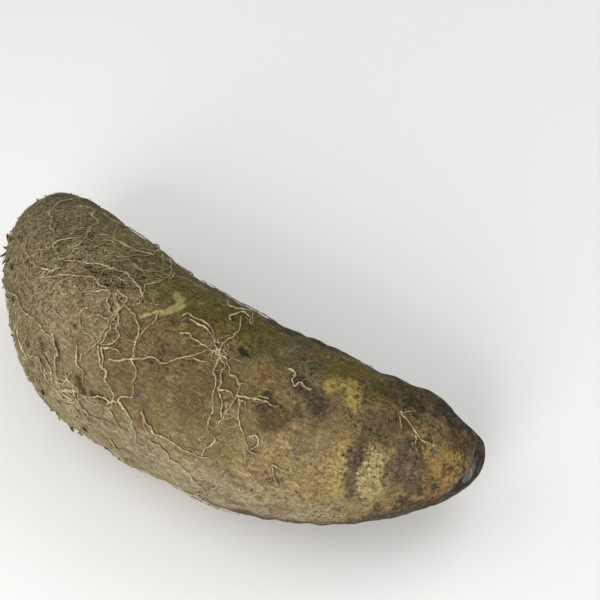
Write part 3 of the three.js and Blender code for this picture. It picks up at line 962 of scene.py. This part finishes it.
# sprays that are drawn on a closer course than their solids have: [along, around] places
closerCourses = {
    "middle": [
        [(-21, 8), (-16, 8), (-14, 11), (-14, 20), (-13, 25), (-12, 30), (-12, 39)],
        [(-20, 12), (-14, 16), (-13, 21), (-11, 27), (-10, 35), (-12, 39)],
        [(-14, 15), (-11, 20), (-9, 25), (-6, 29), (-7, 35), (-10, 38)],
        [(-21, 13), (-19, 17), (-17, 18), (-14, 20)],
        [(-20, 8), (-18, 12), (-15, 14), (-14, 18)],
        [
            (-21, 13), (-26, 12), (-30, 12), (-34, 12), (-38, 17),
            (-43, 22), (-47, 28), (-52, 34), (-57, 40), (-63, 39),
        ],
        [
            (-12, 2), (-15, -1), (-19, -2), (-26, -4), (-33, 0),
            (-37, 2), (-42, 8), (-49, 14), (-54, 18), (-61, 18),
        ],
        [(-61, 18), (-66, 16), (-65, 8), (-62, 3), (-60, -4)],
        [(-49, 21), (-51, 26), (-58, 33), (-64, 36), (-69, 37), (-76, 39), (-83, 37)],
        [(-22, 12), (-25, 14), (-28, 17), (-31, 22)],
        [(-24, 26), (-25, 29), (-25, 32), (-22, 36), (-19, 38), (-17, 37), (-13, 38)],
        [(-14, 23), (-15, 25), (-19, 26), (-21, 30), (-22, 33), (-20, 37)],
        [
            (-14, 12), (-11, 13), (-7, 14), (-3, 16), (0, 21), (1, 27),
            (2, 32), (5, 37), (7, 40), (8, 46), (10, 52),
        ],
        [(10, 52), (6, 57), (4, 62), (-1, 63), (-5, 66), (-8, 69), (-13, 78), (-17, 83), (-20, 80)],
        [(0, 6), (2, 11), (1, 15), (1, 22)],
        [(-9, 39), (-5, 36), (-2, 36)],
        [(-12, 39), (-13, 44), (-15, 49), (-14, 53)],
        [(-11, 40), (-9, 43), (-6, 48), (-3, 49), (-2, 53), (2, 57), (3, 63), (3, 69)],
        [(-10, 40), (-7, 43), (-6, 47), (-3, 50)],
        [(-18, 46), (-15, 55), (-12, 56), (-10, 61)],
        [(-18, 64), (-14, 68), (-12, 72), (-8, 78), (-5, 79), (0, 77), (5, 76), (11, 75)],
        [(-20, 78), (-17, 74), (-13, 70), (-8, 69), (-3, 68), (0, 66), (4, 61)],
        [(3, 69), (5, 71), (7, 75), (10, 74)],
        [(-34, 69), (-30, 70), (-28, 72), (-26, 77), (-20, 80)],
        [(-28, 56), (-24, 58), (-25, 61), (-23, 65), (-22, 72), (-20, 80)],
        [(-8, 80), (-7, 88), (-6, 98), (-3, 101), (1, 102), (4, 105), (7, 112)],
        [(3, 88), (4, 96), (6, 102), (8, 112)],
    ],
    "belly": [
        [
            (15, 58), (17, 62), (19, 64), (21, 67), (25, 67),
            (29, 69), (33, 69), (36, 70), (40, 70), (42, 68),
        ],
        [(5, 60), (8, 62), (11, 65), (13, 70), (14, 72), (14, 78), (17, 79), (20, 73), (22, 68)],
        [(17, 64), (19, 69)],
        [(38, 69), (40, 62), (42, 58), (41, 55)],
        [(20, 74), (24, 75), (29, 80), (34, 84), (37, 91), (40, 101), (39, 114)],
    ],
    "star": [
        [(9, -2), (11, -5), (14, -4), (19, -3), (22, -1), (25, 3), (27, 7), (30, 10)],
        [(12, -1), (17, -1), (21, 0), (24, 3), (26, 6), (29, 9)],
        [(13, 10), (16, 9), (19, 10), (23, 10), (28, 11), (30, 10)],
        [
            (-5, 43), (0, 39), (4, 35), (10, 31), (14, 30), (16, 27),
            (20, 23), (23, 19), (25, 16), (27, 12), (30, 11),
        ],
        [(24, 20), (26, 20), (29, 18)],
        [(30, 10), (31, 5), (32, -1), (33, -6), (31, -12), (29, -15), (28, -19)],
        [(25, -12), (25, -18), (27, -24), (29, -24), (32, -23), (34, -19), (35, -18)],
        [
            (29, 9), (30, 12), (32, 13), (34, 13), (37, 17), (39, 20),
            (43, 26), (43, 35), (42, 42), (41, 49), (37, 60),
        ],
        [
            (30, 9), (31, 12), (33, 15), (36, 17), (35, 21),
            (37, 26), (37, 31), (39, 34), (40, 38), (41, 45),
        ],
        [(32, 13), (32, 18), (33, 24), (35, 27), (36, 33), (38, 40), (38, 45), (38, 50), (37, 54)],
        [(37, 31), (39, 30), (41, 30), (42, 33)],
        [(43, 30), (46, 29), (49, 29), (51, 26), (54, 26)],
        [(49, 29), (53, 28), (55, 29), (57, 28)],
        [(44, 30), (45, 35), (46, 42), (47, 45), (49, 51), (52, 57)],
        [(45, 34), (46, 32), (48, 36)],
        [(41, 22), (42, 25), (44, 23)],
    ],
    "crook": [
        [(51, 49), (52.5, 48), (54, 49.5), (54.5, 52), (53.5, 54.5), (52.5, 57)],
        [(52.5, 57), (55, 58.5)],
        [(60, 63), (61, 70), (63, 80)],
        [(60, 63), (65, 66)],
    ],
    "ridge": [
        [(-48, -50), (-42, -40), (-36, -31), (-37, -15), (-40, -6), (-40, 4)],
        [(-34, -46), (-19, -30), (-15, -18), (-15, -6), (-12, 1), (-12, 5)],
        [(-18, -33), (-12, -19), (-11, -13)],
        [(-36, -31), (-41, -25), (-47, -20), (-52, -18), (-57, -20), (-64, -27), (-76, -37)],
        [(-53, -11), (-51, -14), (-45, -12)],
    ],
    "flank": [
        [
            (-84, 80), (-78, 77), (-69, 68), (-59, 59), (-53, 58),
            (-46, 56), (-38, 53), (-35, 55), (-31, 53), (-29, 50),
        ],
        [(-50, 72), (-46, 76), (-43, 79), (-38, 74), (-32, 68), (-30, 73), (-25, 78)],
        [(-30, 65), (-28, 67), (-26, 67), (-25, 70), (-25, 73), (-22, 79), (-18, 82), (-13, 78)],
        [(-30, 51), (-26, 58), (-25, 61), (-23, 68), (-21, 73), (-20, 78)],
        [(-22, 74), (-19, 72), (-18, 69), (-17, 65), (-15, 60)],
        [(-17, 65), (-15, 67), (-12, 68), (-10, 72), (-9, 77), (-6, 79), (-1, 78), (4, 80)],
        [(-19, 77), (-16, 71), (-14, 72), (-11, 68)],
        [(-18, 78), (-15, 78), (-13, 76)],
    ],
    "crown": [[(-102, -13), (-98, -3), (-95, 6), (-89, 11), (-86, 10), (-80, 14), (-73, 13)]],
    "shoulder": [
        [
            (-92, -17), (-90, -25), (-84, -23), (-81, -19), (-77, -21),
            (-71, -18), (-68, -12), (-63, -7), (-62, 3), (-65, 8),
        ],
        [(-66, -9), (-60, -4), (-56, 3), (-57, 8)],
        [(-83, -22), (-84, -19)],
    ],
    "squiggle": [
        [(55, 4), (57.5, 4.5), (59, 6.5), (58.5, 9), (60, 13), (61.3, 9.5), (63, 11.5), (65.5, 13)],
        [(59, 6.5), (58, 7)],
    ],
    "tip": [
        [(94, 9), (95, 12), (97, 20), (98, 25), (100, 29), (102, 33), (105, 33)],
        [(94, 14), (94, 21), (94, 25)],
        [(94, 12), (96, 8), (98, 4)],
        [(98, 27), (99, 35)],
    ],
}


def rootCourse(route):  # a function from u to a point of the root's path, and the path's length
    length = routeLength(route)
    sway = draw(*roots["swayWidth"])
    swaySpan = draw(*roots["swaySpan"])
    arch = draw(*roots["archHeight"])
    archLength = draw(*roots["archSpan"])
    settleLength = roots["settleLength"]
    look = 0.02

    def pointAt(u, radius, startLift):
        travelled = length * u
        at = onRoute(route, u)
        ahead = onRoute(route, min(1, u + look))
        before = onRoute(route, max(0, u - look))
        alongScale, aroundScale = skinScale(at)
        heading = math.atan2((ahead[1] - before[1]) * aroundScale, (ahead[0] - before[0]) * alongScale)
        free = min(1, travelled / settleLength, (length - travelled) / settleLength)
        aside = free * sway * math.sin(2 * math.pi * travelled / swaySpan)
        settle = max(0, 1 - travelled / settleLength)
        rise = free * arch * math.sin(math.pi * travelled / archLength) ** 2
        lift = startLift * settle + (radius + roots["skinGap"] + rise) * (1 - settle)
        swayed = (
            at[0] - aside * math.sin(heading) / alongScale,
            at[1] + aside * math.cos(heading) / aroundScale,
        )
        return {"at": swayed, "lift": lift, "heading": heading, "place": skinPlace(swayed, lift)[0]}

    return pointAt, length


def wobbled(at, lift):  # where a root really runs: closer to the skin than its solid, and kinky
    here = plainSkinAt(at)[0]
    sway = noise.noise_vector(here * rootLook["wobbleScale"]) * rootLook["wobble"]
    sway += noise.noise_vector(here * rootLook["kinkScale"]) * rootLook["kink"]
    alongScale, aroundScale = skinScale(at)
    moved = (at[0] + sway.x / alongScale, at[1] + sway.y / aroundScale)
    return onSkin(moved, min(lift, rootLook["highest"]) - rootLook["sink"] + rootLook["bounce"] * sway.z)


def quarters(before, after):  # the places at each quarter of the way
    return [before["place"].lerp(after["place"], part / 4) for part in (1, 2, 3, 4)]


# the solid's points along a route, and the finer ones of the root to be seen
def makePath(route, radius, startLift, taken):
    pointAt, length = rootCourse(route)
    steps = max(2, nearestWhole(length / roots["step"]))
    path = []
    for k in range(steps + 1):
        point = pointAt(k / steps, radius, startLift)
        if k > 0:
            between = quarters(path[-1], point)
            if any((other - place).length < roots["clearOfOthers"] for place in between for other in taken):
                break
        path.append(point)
    count = steps * rootLook["finePoints"]
    return path, [pointAt(k / count, radius, startLift) for k in range(count + 1)]


def walk(start, heading, length, sweep):  # a route that starts with a heading and turns by the sweep
    stride, sides = roots["walkStride"], roots["walkSides"]
    count = max(1, nearestWhole(length / stride))
    route = [start]
    for i in range(count):
        alongScale, aroundScale = skinScale(route[i])
        turned = heading + sweep * i / count
        along = route[i][0] + stride * math.cos(turned) / alongScale
        around = route[i][1] + stride * math.sin(turned) / aroundScale
        route.append((clamp(along, *roots["walkEnds"]), clamp(around, -sides, sides)))
    return route


# the places with a half thickness at each, in metres: thinner towards the end, and knotty
def taper(places, radius, tipShare=rootLook["tipShare"], knots=rootLook["knots"]):
    strand = []
    for k, place in enumerate(places):
        thinned = radius * (1 + (tipShare - 1) * k / (len(places) - 1))
        knot = 1 + knots * noise.noise(place * rootLook["knotScale"])
        strand.append((place * mm, thinned * knot * mm))
    return strand


def growBranches(path, taken):
    grown = []
    count = int((len(path) - 1) * roots["step"] / roots["branchSpacing"])
    for _ in range(count):
        origin = path[int(draw(*roots["branchStart"]) * len(path))]
        side = -1 if draw(0, 1) < 0.5 else 1
        heading = origin["heading"] + side * draw(*roots["branchTurn"])
        length = draw(*roots["branchLength"])
        twig = walk(origin["at"], heading, length, -side * draw(*roots["branchSweep"]))
        grown.append(makePath(twig, roots["branchRadius"], origin["lift"], taken))
    return [branch for branch in grown if len(branch[0]) > 1]


def growTuft(tuft, taken):  # the fine points and half thickness of each root, and the places they take up
    headLift = roots["radius"] + roots["skinGap"]
    points = [{"at": tuft["base"], "lift": headLift, "place": skinPlace(tuft["base"], headLift)[0]}]
    grown = []
    places = []
    for route in tuft["routes"]:
        first = skinPlace(route[0], headLift)[0]
        start = min(points, key=lambda point: (point["place"] - first).length)
        path, fine = makePath([start["at"], *route], roots["radius"], start["lift"], taken)
        if len(path) < 2:
            continue
        if start is points[0]:
            fine.insert(0, {"at": tuft["base"], "lift": rootLook["baseLift"]})
        grown.append((fine, rootLook["radius"]))
        branches = growBranches(path, taken)
        grown += [(branchFine, rootLook["branchRadius"]) for _, branchFine in branches]
        points += path
        for grownPath in [path] + [branchPath for branchPath, _ in branches]:
            for before, after in zip(grownPath, grownPath[1:]):
                places += quarters(before, after)
    return grown, places


def closerStrand(course, radius):
    count = max(3, nearestWhole(routeLength(course) / rootLook["closerStep"]))
    lift = roots["radius"] + roots["skinGap"]
    return taper([wobbled(onRoute(course, k / count), lift) for k in range(count + 1)], radius)


# what the roots and flakes are made of: dull and bright stretches, with dirt on them
fibreLook = {
    "stretches": {"Scale": 110.0, "Low": 0.35, "High": 0.65, "Detail": 3.0},
    "dirt": {"Scale": 700.0, "Low": 0.47, "High": 0.64, "Detail": 4.0},
    "roughness": 0.65,
    "grainScale": 1500.0,
    "bump": {"Strength": 0.6, "Distance": 0.0002},
}


def makeRootMaterial(name, dull, bright, dirt, dirtShare):
    material, tree, shader = newMaterial(name)
    place = addNode(tree, "TexCoord").outputs["Object"]
    brightened = placeGroup(tree, "patches", Place=place, **fibreLook["stretches"])
    colour = mixColour(tree, brightened, dull, bright)
    dirty = placeGroup(tree, "patches", Place=place, **fibreLook["dirt"])
    colour = mixColour(tree, calculate(tree, "MULTIPLY", dirty, dirtShare), colour, dirt)
    tree.links.new(colour, shader.inputs["Base Color"])
    shader.inputs["Roughness"].default_value = fibreLook["roughness"]
    grain = noiseValue(tree, place, fibreLook["grainScale"], 3.0)
    bump = addNode(tree, "Bump", {"Height": grain, **fibreLook["bump"]})
    tree.links.new(bump.outputs["Normal"], shader.inputs["Normal"])
    return material


rootFibre = makeRootMaterial("rootFibre", tone(136, 121, 86), tone(182, 167, 126), tone(88, 72, 46), 0.7)
hairFibre = makeRootMaterial("hairFibre", tone(118, 104, 72), tone(184, 169, 126), tone(70, 58, 38), 0.6)
darkStub = makeRootMaterial("darkStub", tone(58, 46, 32), tone(96, 78, 52), tone(36, 28, 20), 0.6)
driedSkin = makeRootMaterial("driedSkin", tone(92, 76, 50), tone(140, 122, 86), tone(52, 42, 28), 0.5)


def strandPiece(name, strands, material, roundness):  # closed tubes along the strands, as one mesh
    curve = bpy.data.curves.new(name + "Line", "CURVE")
    curve.dimensions = "3D"
    curve.bevel_depth = 1
    curve.bevel_resolution = roundness
    curve.use_fill_caps = True
    for strand in strands:
        spline = curve.splines.new("POLY")
        spline.points.add(len(strand) - 1)
        for point, (place, radius) in zip(spline.points, strand):
            point.co = (*place, 1)
            point.radius = radius
    holder = bpy.data.objects.new(name + "Line", curve)
    mesh = bpy.data.meshes.new_from_object(holder)
    mesh.name = name
    bpy.data.objects.remove(holder)
    piece = newObject(name, mesh)
    mesh.shade_smooth()
    mesh.materials.clear()
    mesh.materials.append(material)
    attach(piece, "root")
    return piece


for number, base in enumerate(farBases, 1):
    count = nearestWhole(draw(*roots["farCount"]))
    firstHeading = draw(0, 2 * math.pi)
    farRoutes = []
    for i in range(count):
        heading = firstHeading + 2 * math.pi * i / count + draw(*roots["farTurn"])
        farRoutes.append(walk(base, heading, draw(*roots["farLength"]), draw(*roots["farSweep"]))[1:])
    sprays[f"far_{number}"] = [{"base": base, "routes": farRoutes}]

taken = []
for name, tufts in sprays.items():
    grown = []
    places = []
    for tuft in tufts:
        tuftGrown, tuftPlaces = growTuft(tuft, taken)
        grown += tuftGrown
        places += tuftPlaces
    taken += places
    if name in closerCourses:
        radius = rootLook["thickSprays"].get(name, rootLook["radius"])
        strands = [closerStrand(course, radius) for course in closerCourses[name]]
    else:
        strands = [taper([wobbled(p["at"], p["lift"]) for p in fine], radius) for fine, radius in grown]
    piece = strandPiece(f"roots_{name}", strands, rootFibre, 2)
    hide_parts(f"root_spray_{name}")
print("roots made")

# thin side roots, which leave the sprays' own routes or stand alone in the tangled places
rootlets = {
    "seed": 71,
    "step": 1.3,
    "fromRoots": {"spacing": 4.5, "length": (1.5, 11), "radius": (0.08, 0.18), "startLift": 0.5},
    "startSink": 0.3,
    "kink": 0.34,
    "turnKept": 0.6,
    "lift": (0, 0.8),
    "phase": (0, 3),
    "phaseStep": 0.35,
    "tipShare": 0.5,
    "knots": 0.3,
    "spread": 0.5,
    "headingSpread": 0.9,
    "ends": (-119, 117),
    "sides": 134,
    "tangles": [
        {"centre": (-56, 0), "size": (24, 28), "count": 64, "length": (5, 20), "radius": (0.1, 0.2)},
        {"centre": (-30, 2), "size": (12, 16), "count": 34, "length": (6, 18), "radius": (0.1, 0.24)},
        {"centre": (-17, 10), "size": (7, 12), "count": 40, "length": (4, 14), "radius": (0.1, 0.24)},
        {"centre": (-90, 0), "size": (22, 50), "count": 20, "length": (6, 18), "radius": (0.08, 0.15)},
        {"centre": (-36, -22), "size": (22, 26), "count": 40, "length": (8, 26), "radius": (0.1, 0.2)},
        {"centre": (-45, 86), "size": (22, 18), "count": 60, "length": (6, 24), "radius": (0.1, 0.2)},
        {"centre": (-16, 74), "size": (12, 9), "count": 36, "length": (5, 18), "radius": (0.12, 0.26)},
        {"centre": (-10, 88), "size": (22, 16), "count": 36, "length": (6, 24), "radius": (0.1, 0.2)},
        {"centre": (14, 92), "size": (24, 18), "count": 20, "length": (6, 20), "radius": (0.1, 0.16)},
        {"centre": (29, 9), "size": (5, 7), "count": 14, "length": (3, 9), "radius": (0.14, 0.28)},
        {"centre": (66, 66), "size": (18, 20), "count": 8, "length": (4, 10), "radius": (0.1, 0.18)},
        {"centre": (93, 12), "size": (6, 12), "count": 10, "length": (3, 8), "radius": (0.07, 0.12)},
        {"centre": (-50, -90), "size": (40, 30), "count": 50, "length": (8, 28), "radius": (0.1, 0.2)},
        {"centre": (30, -90), "size": (60, 34), "count": 34, "length": (6, 22), "radius": (0.1, 0.18)},
    ],
}


def wander(at, heading, length, radius, dice, startLift=0.0):  # a thin root that wanders over the skin
    step, sides = rootlets["step"], rootlets["sides"]
    height = dice.uniform(*rootlets["lift"])
    phase = dice.uniform(*rootlets["phase"])
    turn = 0.0
    places = [skinPlace(at, startLift - rootlets["startSink"])[0]]
    for k in range(max(3, int(length / step))):
        alongScale, aroundScale = skinScale(at)
        turn = rootlets["turnKept"] * turn + dice.gauss(0, rootlets["kink"])
        heading += turn
        along = clamp(at[0] + step * math.cos(heading) / alongScale, *rootlets["ends"])
        at = (along, clamp(at[1] + step * math.sin(heading) / aroundScale, -sides, sides))
        lift = radius + height * abs(math.sin(phase + rootlets["phaseStep"] * k))
        places.append(onSkin(at, lift))
    return taper(places, radius, rootlets["tipShare"], rootlets["knots"])


def strewn(spot, dice):  # a place near the middle of an oval
    spread = rootlets["spread"]
    return [middle + dice.gauss(0, spread) * half for middle, half in zip(spot["centre"], spot["size"])]


def makeRootlets():
    dice = random.Random(rootlets["seed"])
    strands = []
    side = rootlets["fromRoots"]
    for name, tufts in sprays.items():
        for tuft in tufts:
            for route in tuft["routes"]:
                whole = [tuft["base"], *route] if name.startswith("far") else route
                for _ in range(int(routeLength(whole) / side["spacing"])):
                    start = onRoute(whole, dice.random())
                    heading = dice.uniform(0, 2 * math.pi)
                    size = dice.uniform(*side["length"]), dice.uniform(*side["radius"])
                    strands.append(wander(start, heading, *size, dice, side["startLift"]))
    for tangle in rootlets["tangles"]:
        for _ in range(tangle["count"]):
            along, around = strewn(tangle, dice)
            start = (clamp(along, *rootlets["ends"]), around)
            heading = dice.choice((0, math.pi)) + dice.gauss(0, rootlets["headingSpread"])
            size = dice.uniform(*tangle["length"]), dice.uniform(*tangle["radius"])
            strands.append(wander(start, heading, *size, dice))
    return strandPiece("rootlets", strands, hairFibre, 0)


makeRootlets()
print("rootlets made")

# hair-fine fuzz: how many hairs in each place, and their length and half thickness in millimetres
fuzz = {
    "seed": 12,
    "points": 5,
    "length": (2, 7),
    "radius": (0.045, 0.08),
    "height": (0.1, 0.8),
    "sink": 0.2,
    "lift": 0.25,
    "bend": (-0.5, 0.5),
    "arch": 0.85,
    "tipLoss": 0.5,
    "places": [
        {"centre": (-48, 84), "size": (26, 26), "count": 900},
        {"centre": (-62, 4), "size": (36, 40), "count": 500},
        {"centre": (-95, 40), "size": (26, 60), "count": 320},
        {"centre": (0, 100), "size": (50, 26), "count": 450},
        {"centre": (0, 30), "size": (90, 60), "count": 500},
        {"centre": (-10, -80), "size": (90, 50), "count": 700},
    ],
    "clumpScale": 0.09,
    "clumpSpread": 0.28,
}


def anyHeading(outward, dice):  # a direction over the skin
    across = outward.orthogonal().normalized()
    turn = dice.uniform(0, 2 * math.pi)
    return across * math.cos(turn) + outward.cross(across) * math.sin(turn)


def makeFuzz():
    dice = random.Random(fuzz["seed"])
    strands = []
    for spot in fuzz["places"]:
        for _ in range(spot["count"]):
            along, around = strewn(spot, dice)
            at = (clamp(along, *rootlets["ends"]), clamp(around, -rootlets["sides"], rootlets["sides"]))
            foot, outward = skinPlace(at, -fuzz["sink"])
            if noise.noise(foot * fuzz["clumpScale"]) < dice.uniform(-1, 1) * fuzz["clumpSpread"]:
                continue
            heading = anyHeading(outward, dice)
            bend = outward.cross(heading) * dice.uniform(*fuzz["bend"])
            length = dice.uniform(*fuzz["length"])
            height = dice.uniform(*fuzz["height"])
            radius = dice.uniform(*fuzz["radius"])
            strand = []
            for k in range(fuzz["points"]):
                u = k / (fuzz["points"] - 1)
                lift = outward * (fuzz["lift"] + height * math.sin(math.pi * min(1, fuzz["arch"] * u)))
                place = foot + (heading * u + bend * u * u) * length + lift
                strand.append((place * mm, radius * (1 - fuzz["tipLoss"] * u) * mm))
            strands.append(strand)
    return strandPiece("fuzz", strands, hairFibre, 0)


makeFuzz()
print("fuzz made")

# the stubs of roots that have broken off: some by place, [along, around], and others strewn about
stubs = {
    "seed": 5,
    "placed": [
        (-111, 22), (-111, 11), (-110, -18), (-101, -43), (-109, 38), (-84, 72), (-63, 86), (-51, 84),
        (-47, 100), (55, 86), (54, 32), (-16, 118), (-13, 120), (-1, 118), (5, 124),
    ],
    "strewn": 44,
    "radius": (0.3, 0.7),
    "height": (0.3, 1.1),
    "sink": 0.4,
    "shape": [(0, 1.25), (0.45, 1), (0.75, 0.8), (1, 0.35)],
    "lean": 0.5,
    "sides": (-132, 132),
    "ends": (-122, 100),
    "bare": [(-110, 0), (-105, 95), (40, 60)],
    "bareReach": (50, 70),
}


def isBare(at):  # whether the place is on the clean stretches of the front
    reach = stubs["bareReach"]
    return any(abs(at[0] - x) < reach[0] and abs(at[1] - y) < reach[1] for x, y in stubs["bare"])


def makeStubs():
    dice = random.Random(stubs["seed"])
    spots = list(stubs["placed"])
    while len(spots) < len(stubs["placed"]) + stubs["strewn"]:
        at = (dice.uniform(*stubs["ends"]), dice.uniform(*stubs["sides"]))
        if dice.random() < skinScale(at)[1] and not isBare(at):
            spots.append(at)
    strands = []
    for at in spots:
        foot, outward = skinPlace(at, -stubs["sink"])
        lean = outward.cross(Vector((dice.gauss(0, 1), dice.gauss(0, 1), dice.gauss(0, 1)))).normalized()
        radius = dice.uniform(*stubs["radius"])
        height = dice.uniform(*stubs["height"])
        strand = []
        for share, width in stubs["shape"]:
            rise = outward * (share * (height + stubs["sink"]))
            place = foot + rise + lean * (stubs["lean"] * height * share * share)
            strand.append((place * mm, radius * width * mm))
        strands.append(strand)
    return strandPiece("rootStubs", strands, darkStub, 1)


makeStubs()
print("root stubs made")

# thin scales of skin that lift off low down on the flank
flakes = {
    "seed": 9,
    "count": 90,
    "length": (2.5, 6.5),
    "width": (1.2, 3),
    "thickness": 0.22,
    "lifted": (0.4, 1.8),
    "lift": 0.25,
    "sink": 0.35,
    "torn": 0.35,
    "tornScale": 9,
    "places": [((-62, 10), (88, 124)), ((-70, 90), (-126, -96)), ((-112, -60), (40, 90))],
    "orderedAlong": Vector((1, 0.731, 0.517)),
}


def makeFlakes():
    dice = random.Random(flakes["seed"])
    tornScale = flakes["tornScale"]
    sheets = bmesh.new()
    for _ in range(flakes["count"]):
        alongRange, aroundRange = dice.choice(flakes["places"])
        at = (dice.uniform(*alongRange), dice.uniform(*aroundRange))
        foot, outward = skinPlace(at, flakes["lift"])
        heading = anyHeading(outward, dice)
        side = outward.cross(heading)
        length, width = dice.uniform(*flakes["length"]), dice.uniform(*flakes["width"])
        lifted = dice.uniform(*flakes["lifted"])
        made = bmesh.ops.create_grid(sheets, x_segments=4, y_segments=2, size=0.5)
        for vert in made["verts"]:
            u, v = vert.co.x + 0.5, vert.co.y
            narrow = math.sin(math.pi * (0.2 + 0.65 * u))  # narrower at both ends
            torn = 1 + flakes["torn"] * noise.noise(foot + Vector((tornScale * u, tornScale * v, 0)))
            rise = lifted * u * u - flakes["sink"] * (1 - u)
            flat = foot + heading * (length * u * torn) + side * (width * v * narrow * torn)
            vert.co = (flat + outward * rise) * mm
    bmesh.ops.recalc_face_normals(sheets, faces=sheets.faces)
    bmesh.ops.solidify(sheets, geom=sheets.faces[:], thickness=flakes["thickness"] * mm)
    bmesh.ops.recalc_face_normals(sheets, faces=sheets.faces)
    # solidify leaves them in an order that differs from run to run
    sheets.verts.sort(key=lambda vert: vert.co.dot(flakes["orderedAlong"]))
    sheets.faces.sort(key=lambda face: face.calc_center_median().dot(flakes["orderedAlong"]))
    mesh = bpy.data.meshes.new("skinFlakes")
    sheets.to_mesh(mesh)
    sheets.free()
    piece = newObject("skinFlakes", mesh)
    mesh.materials.append(driedSkin)
    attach(piece, "root")
    return piece


makeFlakes()
print("skin flakes made")


# stage: the floor, the lights that aim at the middle of the tuber, and the camera
stage = {"floorSize": 40, "floorColour": (0.86, 0.86, 0.85, 1), "floorRoughness": 0.9, "worldLight": 0.55}
lights = {
    "key": {"place": (0.3, -1.1, 0.5), "size": 0.7, "power": 14},
    "fill": {"place": (-0.7, -0.5, 0.9), "size": 0.9, "power": 3},
    "back": {"place": (0.2, 0.9, 0.9), "size": 0.9, "power": 3},
}
lightAim = Vector((0, 0, 0.03))
camera = {"azimuth": 35.4, "elevation": 43, "lens": 70, "distance": 0.607, "target": (-0.008, 0.0974, 0)}


def makeStage():
    floorMesh = bpy.data.meshes.new("floor")
    floor = newObject("floor", floorMesh)
    sheet = bmesh.new()
    bmesh.ops.create_grid(sheet, x_segments=1, y_segments=1, size=stage["floorSize"])
    sheet.to_mesh(floorMesh)
    sheet.free()
    paper, _, shader = newMaterial("palePaper")
    shader.inputs["Base Color"].default_value = stage["floorColour"]
    shader.inputs["Roughness"].default_value = stage["floorRoughness"]
    floorMesh.materials.append(paper)


def makeLights():
    for name, light in lights.items():
        data = bpy.data.lights.new(name, "AREA")
        data.size = light["size"]
        data.energy = light["power"]
        lamp = newObject(name, data)
        lamp.location = light["place"]
        lamp.rotation_euler = (lightAim - lamp.location).to_track_quat("-Z", "Y").to_euler()
    world = bpy.data.worlds.new("studio")
    world.use_nodes = True
    world.node_tree.nodes["Background"].inputs["Color"].default_value = (1, 1, 1, 1)
    world.node_tree.nodes["Background"].inputs["Strength"].default_value = stage["worldLight"]
    bpy.context.scene.world = world


def makeCamera():
    data = bpy.data.cameras.new("view")
    data.lens = camera["lens"]
    data.sensor_width = 36
    eye = newObject("view", data)
    azimuth, elevation = math.radians(camera["azimuth"]), math.radians(camera["elevation"])
    flat = math.cos(elevation)
    back = Vector((math.sin(azimuth) * flat, -math.cos(azimuth) * flat, math.sin(elevation)))
    eye.location = Vector(camera["target"]) + back * camera["distance"]
    eye.rotation_euler = (-back).to_track_quat("-Z", "Y").to_euler()
    bpy.context.scene.camera = eye


makeStage()
makeLights()
makeCamera()
bpy.context.scene.view_settings.view_transform = "Standard"
print("stage made")
